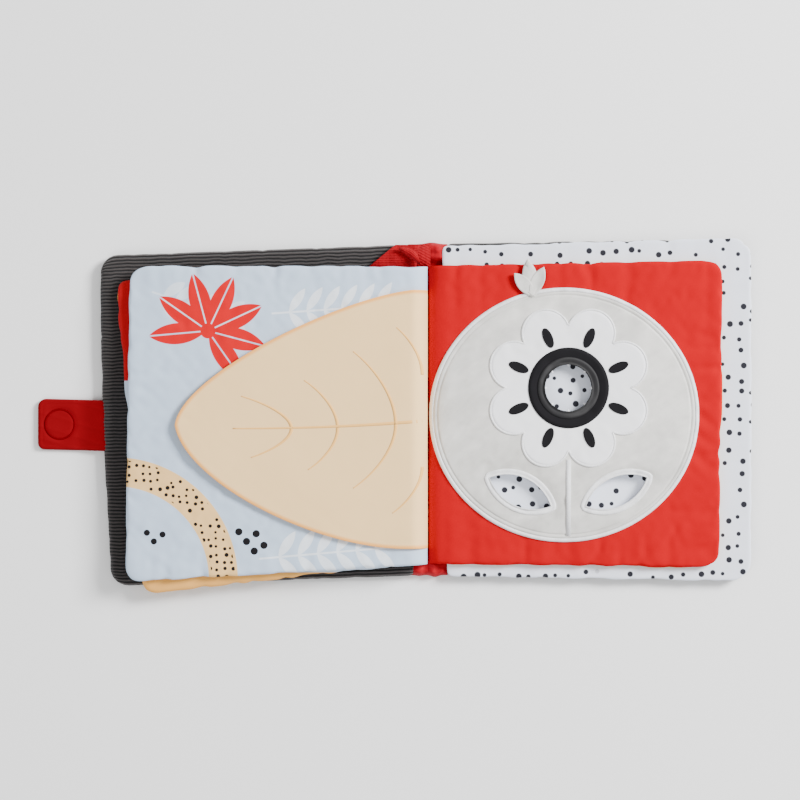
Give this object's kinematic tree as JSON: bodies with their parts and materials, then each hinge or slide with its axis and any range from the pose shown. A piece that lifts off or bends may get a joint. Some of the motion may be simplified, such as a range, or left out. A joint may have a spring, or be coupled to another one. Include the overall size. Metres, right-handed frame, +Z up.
{
  "type": "soft baby book",
  "caption": "Padded cloth book lying open: corduroy covers on a fabric spine, padded leaves, a leaf-shaped flap, peek-through windows and a closing tab.",
  "frame": {"origin": "middle of the spine's flat underside, on the surface that the open book lies on", "axes": "+Z up from the table, +X towards the right-hand page, +Y towards the head of the pages"},
  "size_m": [0.3719, 0.1827, 0.0169],
  "materials": {
    "corduroy": "charcoal corduroy, 14 wale",
    "spine_red": "red satin-faced polyester, gathered",
    "ribbon_red": "red grosgrain ribbon",
    "tab_red": "dark red brushed polyester",
    "closer_red": "dark red hook patch",
    "closer_grey": "charcoal loop patch",
    "page_pale": "pale blue-grey printed polyester",
    "page_red": "red printed polyester",
    "print_red": "red print",
    "print_tan": "tan print",
    "print_white": "white print",
    "print_black": "black print",
    "flap_cream": "cream printed polyester",
    "flap_orange": "light orange print",
    "lining_white": "white printed polyester",
    "velour_grey": "light grey velour",
    "satin_white": "white satin stitching",
    "satin_black": "black satin stitching",
    "cotton_white": "white cotton twill",
    "cotton_black": "black cotton twill",
    "thread_red": "red sewing thread"
  },
  "bodies": {
    "spine": {"spine_panel": "spine_red", "ribbon_end": "ribbon_red", "lower_page_margin": "page_pale", "window_page_margin": "page_red", "upper_page_margin": "page_pale", "flap_margin": "flap_cream", "spine_stitching": "thread_red"},
    "front_half": {"front_cover": "corduroy", "ribbon_loop": "ribbon_red", "closing_tab": "tab_red", "tab_closer": "closer_red", "tab_stitching": "thread_red", "lower_left_page": "page_pale", "lower_page_red_print": "print_red", "lower_page_tan_print": "print_tan", "upper_left_page": "page_pale", "red_leaf_print": "print_red", "white_spray_prints": "print_white", "tan_band_print": "print_tan", "black_dot_prints": "print_black", "leaf_flap": "flap_cream", "flap_veins": "flap_orange"},
    "back_half": {"back_cover": "corduroy", "cover_closer": "closer_grey", "back_lining": "lining_white", "lining_dots": "print_black", "window_page": "page_red", "velour_patch": "velour_grey", "patch_edge_stitching": "satin_white", "flower_petals": "cotton_white", "flower_heart": "cotton_black", "petal_marks": "cotton_black", "flower_stem": "satin_white", "round_window_rim": "satin_black", "leaf_window_rims": "satin_white", "velour_sprig": "velour_grey"}
  },
  "joints": [
    {"name": "front_cover_fold", "type": "hinge", "parent": "spine", "child": "front_half", "pos_m": [-0.0092, 0, 0.006], "axis": [0, 1, 0], "range_deg": [0, 90], "deforming": ["lower_page_margin", "upper_page_margin", "flap_margin", "spine_stitching"]},
    {"name": "back_cover_fold", "type": "hinge", "parent": "spine", "child": "back_half", "pos_m": [0.0092, 0, 0.006], "axis": [0, -1, 0], "range_deg": [0, 90], "deforming": ["window_page_margin"]}
  ]
}
